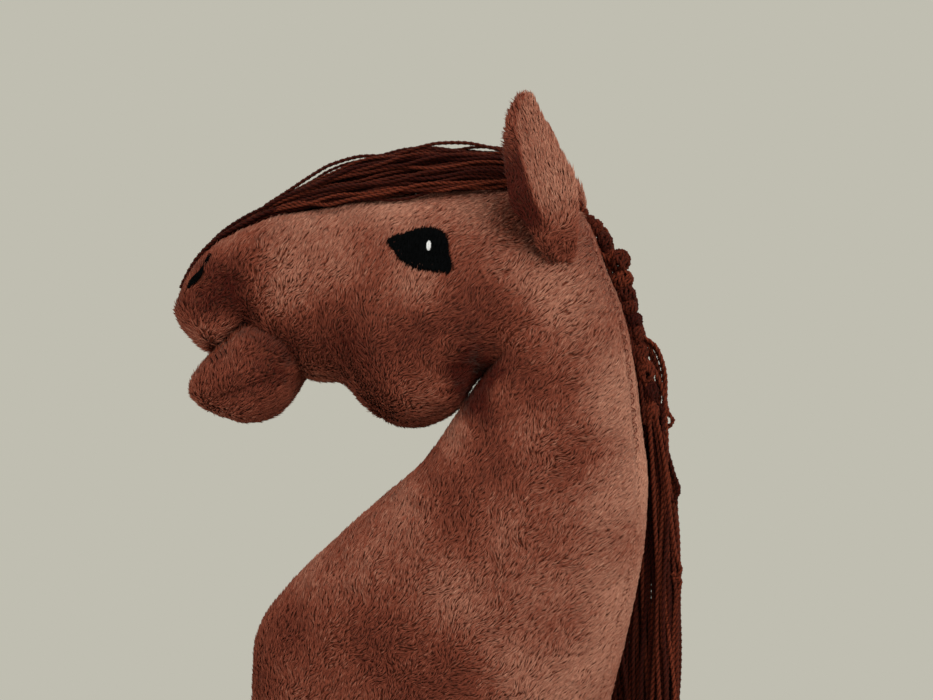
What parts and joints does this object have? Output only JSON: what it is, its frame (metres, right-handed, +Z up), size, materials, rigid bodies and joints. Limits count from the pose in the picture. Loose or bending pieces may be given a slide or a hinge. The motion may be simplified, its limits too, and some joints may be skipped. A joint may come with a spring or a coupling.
{
  "type": "hobby horse",
  "caption": "Stuffed plush horse's head and neck with embroidered eyes, yarn forelock and mane, on a round wooden stick for a child to ride.",
  "frame": {"origin": "centre of the stick's flat foot", "axes": "+Z up along the stick; the horse faces -X and its left side is towards -Y"},
  "size_m": [0.3529, 0.1518, 1.0458],
  "materials": {
    "waxed_pine": "turned and waxed",
    "chestnut_plush": "curly knitted pile",
    "mouth_plush": "short pile",
    "polyester_fill": "loose fibre",
    "sleeve_cotton": "plain weave",
    "black_thread": "satin stitch",
    "white_thread": "satin stitch",
    "russet_yarn": "two ply twisted"
  },
  "bodies": {
    "stick": {"stick": "waxed_pine"},
    "head": {"stick_sleeve": "sleeve_cotton", "neck_stuffing": "polyester_fill", "head_stuffing": "polyester_fill", "lower_lip_stuffing": "polyester_fill", "neck_base_panel": "chestnut_plush", "left_side_panel": "chestnut_plush", "right_side_panel": "chestnut_plush", "crest_gusset": "chestnut_plush", "forehead_gusset": "chestnut_plush", "chest_gusset": "chestnut_plush", "chin_gusset": "chestnut_plush", "mouth_lining_upper": "mouth_plush", "mouth_lining_lower": "mouth_plush", "lower_lip_left_cover": "chestnut_plush", "lower_lip_right_cover": "chestnut_plush", "left_eye": "black_thread", "left_eye_sparkle": "white_thread", "right_eye": "black_thread", "right_eye_sparkle": "white_thread", "left_nostril": "black_thread", "right_nostril": "black_thread", "forelock_lock_left": "russet_yarn", "forelock_lock_middle": "russet_yarn", "forelock_lock_right": "russet_yarn", "forelock_lock_top_left": "russet_yarn", "forelock_lock_top_right": "russet_yarn", "mane_curl_1": "russet_yarn", "mane_curl_2": "russet_yarn", "mane_curl_3": "russet_yarn", "mane_curl_4": "russet_yarn", "mane_curl_5": "russet_yarn", "mane_lock_1": "russet_yarn", "mane_lock_2": "russet_yarn", "mane_lock_3": "russet_yarn", "mane_lock_4": "russet_yarn", "mane_lock_5": "russet_yarn", "mane_lock_6": "russet_yarn"},
    "left_ear": {"left_ear_outer": "chestnut_plush", "left_ear_lining": "chestnut_plush"},
    "right_ear": {"right_ear_outer": "chestnut_plush", "right_ear_lining": "chestnut_plush"}
  },
  "joints": [
    {"name": "head_pull_off", "type": "slide", "parent": "stick", "child": "head", "axis": [0, 0, 1], "range_m": [0, 0.21]},
    {"name": "left_ear_flex", "type": "hinge", "parent": "head", "child": "left_ear", "pos_m": [0.07788, -0.05291, 0.94722], "axis": [0.9455, 0, 0.3256], "range_deg": [-15, 30], "stiffness_Nm_per_rad": 0.12},
    {"name": "right_ear_flex", "type": "hinge", "parent": "head", "child": "right_ear", "pos_m": [0.07788, 0.05291, 0.94722], "axis": [-0.9455, 0, -0.3256], "range_deg": [-15, 30], "stiffness_Nm_per_rad": 0.12}
  ]
}
